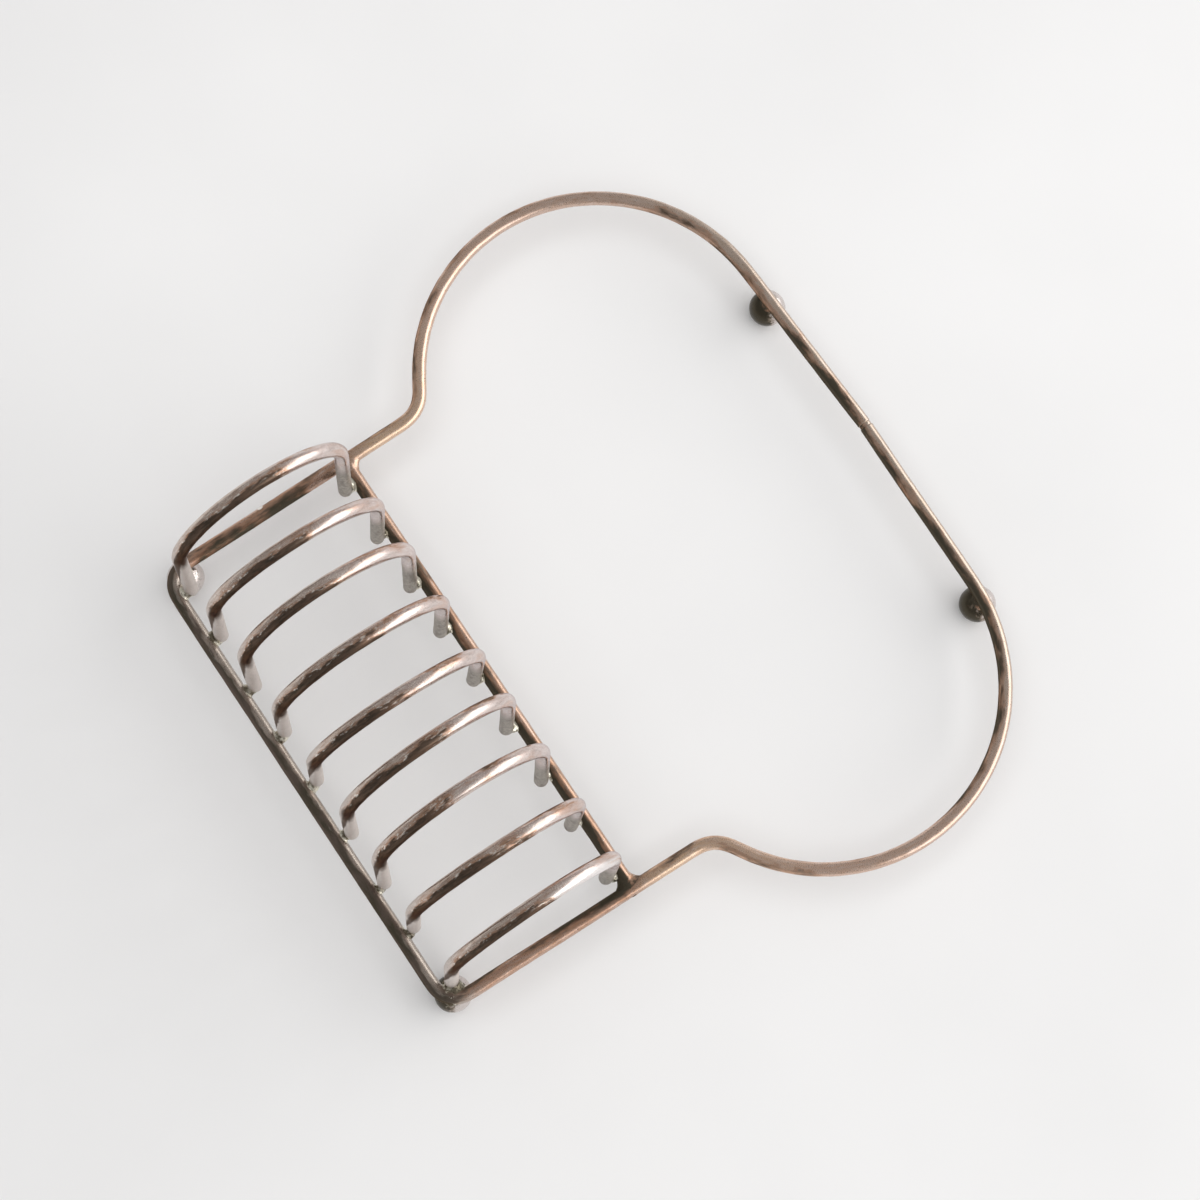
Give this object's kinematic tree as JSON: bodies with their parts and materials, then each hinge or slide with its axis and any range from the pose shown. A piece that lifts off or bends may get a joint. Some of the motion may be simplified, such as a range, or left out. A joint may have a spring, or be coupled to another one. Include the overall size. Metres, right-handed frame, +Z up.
{
  "type": "toast rack",
  "caption": "Wire toast rack: a row of arched hoops soldered between two rails, a wide rounded loop lying flat behind them, and small ball feet.",
  "frame": {"origin": "on the table plane, under the middle of the whole rack's bounding box", "axes": "+X along the two rails that the hoops stand between, +Y from the toast end towards the loop, +Z up"},
  "size_m": [0.194, 0.1758, 0.0739],
  "materials": {
    "worn_silver_plate": "silver plate worn and tarnished to brown over copper alloy wire, satin",
    "ball_silver": "silver plate over solid copper alloy balls, less worn, satin to bright",
    "solder": null
  },
  "bodies": {
    "root": {"base_wire": "worn_silver_plate", "cross_rail": "worn_silver_plate", "hoop_1": "worn_silver_plate", "hoop_2": "worn_silver_plate", "hoop_3": "worn_silver_plate", "hoop_4": "worn_silver_plate", "hoop_5": "worn_silver_plate", "hoop_6": "worn_silver_plate", "hoop_7": "worn_silver_plate", "hoop_8": "worn_silver_plate", "hoop_9": "worn_silver_plate", "foot_front_left": "ball_silver", "foot_front_right": "ball_silver", "foot_back_left": "ball_silver", "foot_back_right": "ball_silver", "solder_hoop_1_front": "solder", "solder_hoop_2_front": "solder", "solder_hoop_3_front": "solder", "solder_hoop_4_front": "solder", "solder_hoop_5_front": "solder", "solder_hoop_6_front": "solder", "solder_hoop_7_front": "solder", "solder_hoop_8_front": "solder", "solder_hoop_1_rear": "solder", "solder_hoop_2_rear": "solder", "solder_hoop_3_rear": "solder", "solder_hoop_4_rear": "solder", "solder_hoop_5_rear": "solder", "solder_hoop_6_rear": "solder", "solder_hoop_7_rear": "solder", "solder_hoop_8_rear": "solder", "solder_hoop_9_rear": "solder", "solder_cross_rail_left": "solder", "solder_cross_rail_right": "solder", "solder_foot_front_left": "solder", "solder_foot_back_left": "solder", "solder_foot_back_right": "solder", "solder_front_right_corner": "solder", "solder_back_joint": "solder"}
  },
  "joints": []
}
